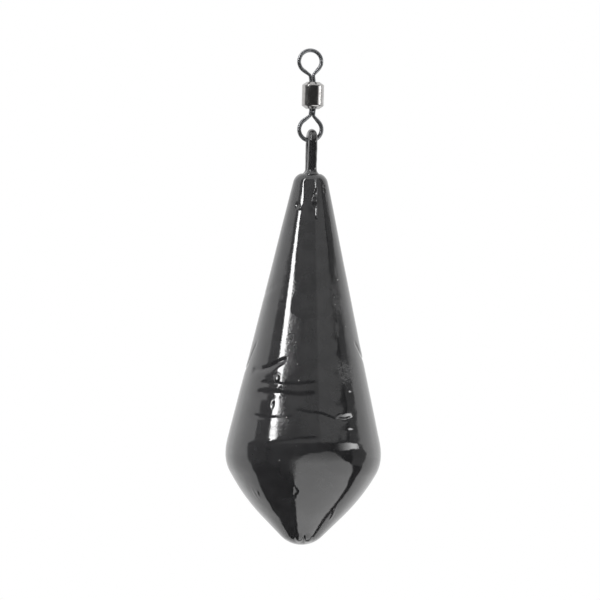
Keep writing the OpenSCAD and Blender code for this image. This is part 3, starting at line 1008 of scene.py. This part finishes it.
def stage_mesh(name, points, faces, material, reflected=True):
    """A mesh of the stage. A reflected one is seen by reflections alone."""
    mesh = bpy.data.meshes.new(name)
    mesh.from_pydata([tuple(p) for p in points], [], faces)
    mesh.materials.append(material)
    made = linked(name, mesh)
    if reflected:
        made.visible_camera = False
        made.visible_diffuse = False
        made.visible_shadow = False


def flat(name, corners, height, material, reflected=True):
    points = [(x, y, height) for x, y in corners]
    stage_mesh(name, points, [tuple(range(len(points)))], material, reflected)


def sheet(name, rows, material):
    """A reflected panel that joins rows of points, all of one length."""
    wide = len(rows[0])
    faces = [(i, i + 1, i + 1 + wide, i + wide)
             for j in range(len(rows) - 1) for i in range(j * wide, (j + 1) * wide - 1)]
    stage_mesh(name, [point for row in rows for point in row], faces, material)


def bearing_point(bearing, distance, height):
    a = math.radians(bearing)
    return Vector((distance * math.sin(a), -distance * math.cos(a), height))


def bent_row(start, end, distance, edge, steps):
    """Points from one bearing to another, at a height or along marks of (bearing, height)."""
    turns = [start + (end - start) * i / steps for i in range(steps + 1)]
    heights = np.interp(turns, *zip(*edge)) if isinstance(edge, tuple) else [edge] * len(turns)
    return [bearing_point(a, distance, float(z)) for a, z in zip(turns, heights)]


def softbox(name, bearing, distance, height, width, tall, radiance, look_z):
    """A rectangular lamp that faces the sinker. Gloss sees the cards instead."""
    data = bpy.data.lights.new(name, "AREA")
    data.shape = "RECTANGLE"
    data.size, data.size_y = width, tall
    data.energy = 4 * radiance * width * tall
    lamp = linked(name, data)
    lamp.location = bearing_point(bearing, distance, height)
    facing = Vector((0, 0, look_z)) - lamp.location
    lamp.rotation_euler = facing.to_track_quat("-Z", "Y").to_euler()
    lamp.visible_camera = False
    lamp.visible_glossy = False


def white_world(fill, gloss, behind):
    """White for the eye, brighter for gloss but dimmer straight behind the part, and a plain
    fill for everything else."""
    world = bpy.data.worlds.new("white_room")
    bpy.context.scene.world = world
    world.use_nodes = True
    tree = world.node_tree
    tree.nodes.clear()
    path = add(tree, "ShaderNodeLightPath")
    seen = add(tree, MATH, (path["Is Camera Ray"], path["Is Transmission Ray"]), operation="MAXIMUM")[0]
    strength = add(tree, RANGE, (seen, 0.0, 1.0, fill, 1.0))[0]
    way = add(tree, "ShaderNodeTexCoord")["Generated"]
    room = dimmed_behind(tree, way, gloss, behind)
    strength = add(tree, RANGE, (path["Is Glossy Ray"], 0.0, 1.0, strength, room))[0]
    sky = add(tree, "ShaderNodeBackground", {"Color": (1, 1, 1, 1), "Strength": strength})[0]
    add(tree, "ShaderNodeOutputWorld", {"Surface": sky})


def camera(s):
    """A camera square to the front, rolled a little, as wide as the view at the sinker."""
    data = bpy.data.cameras.new("camera")
    data.lens = data.sensor_width * s.distance / s.view_width
    data.clip_end = 10.0
    made = linked("camera", data)
    made.location = (s.aim_x, -s.distance, s.aim_z)
    level = Matrix.Rotation(math.radians(90), 4, "X")
    made.rotation_mode = "QUATERNION"
    made.rotation_quaternion = (Matrix.Rotation(s.roll, 4, "Y").inverted() @ level).to_quaternion()
    return made


class SINKER_OT_stage(bpy.types.Operator):
    """Makes the room, the floor, the softboxes, the cards that gloss shows, and the camera"""

    bl_idname = "sinker.stage"
    bl_label = "Stage"

    def execute(self, context):
        s = context.scene.sinker_stage
        white_world(s.fill, s.gloss, s.behind)
        corners = [(s.floor_r * math.cos(a), s.floor_r * math.sin(a))
                   for a in (2 * math.pi * i / FLOOR_SIDES for i in range(FLOOR_SIDES))]
        flat("floor", corners, TIP_Z - s.floor_drop, pale_floor(), False)
        for box in SOFTBOXES:
            softbox(*box)
        for name, distance, rows, cloth, strength, fade in NEAR_CARDS:
            bent = [bent_row(start, end, distance, z, NEAR_STEPS) for start, end, z in rows]
            sheet(name, bent, glowing_cloth(cloth, strength, fade))
        for name, start, end, distance, low, top, cloth, strength in FAR_CARDS:
            bent = [bent_row(start, end, distance, edge, FAR_STEPS) for edge in (low, top)]
            sheet(name, bent, glowing_cloth(cloth, strength))
        rows = []
        for down, left, right in LOW_SHEET:
            a = math.radians(down)
            spot = (-LOW_SHEET_R * math.cos(a), LOW_SHEET_Z - LOW_SHEET_R * math.sin(a))
            rows.append([(side * LOW_SHEET_R, *spot) for side in (left, right)])
        sheet("low_softbox", rows, glowing_cloth("low_cloth", LOW_GLOW, LOW_FADE))
        flat("table_card", TABLE, TABLE_Z, glowing_cloth("table_cloth", TABLE_GLOW, behind=s.behind))
        flat("low_felt", FELT, FELT_Z, bpy.data.materials["dark_cloth"])
        context.scene.camera = camera(s)
        context.scene.view_settings.view_transform = "Standard"
        return {"FINISHED"}


class VIEW3D_PT_sinker(bpy.types.Panel):
    """Lists the sinker's pieces"""

    bl_label = "Casting sinker"
    bl_space_type = "VIEW_3D"
    bl_region_type = "UI"
    bl_category = "Sinker"

    def draw(self, context):
        for operator in OPERATORS:
            self.layout.operator(operator.bl_idname)


GROUPS = {
    "sinker_coat": SinkerCoat, "sinker_loop": SinkerLoop,
    "sinker_swivel": SinkerSwivel, "sinker_stage": SinkerStage,
}
OPERATORS = (
    SINKER_OT_core, SINKER_OT_coat, SINKER_OT_loop, SINKER_OT_barrel, SINKER_OT_eyes, SINKER_OT_stage,
)


def register():
    for group in GROUPS.values():
        bpy.utils.register_class(group)
    for name, group in GROUPS.items():
        setattr(bpy.types.Scene, name, bpy.props.PointerProperty(type=group))
    for operator in OPERATORS:
        bpy.utils.register_class(operator)
    bpy.utils.register_class(VIEW3D_PT_sinker)


def unregister():
    bpy.utils.unregister_class(VIEW3D_PT_sinker)
    for operator in reversed(OPERATORS):
        bpy.utils.unregister_class(operator)
    for name, group in GROUPS.items():
        delattr(bpy.types.Scene, name)
        bpy.utils.unregister_class(group)


def main():
    register()
    for step in (bpy.ops.sinker.core, bpy.ops.sinker.coat, bpy.ops.sinker.loop,
                 bpy.ops.sinker.barrel, bpy.ops.sinker.eyes, bpy.ops.sinker.stage):
        step()


if __name__ == "__main__":
    main()
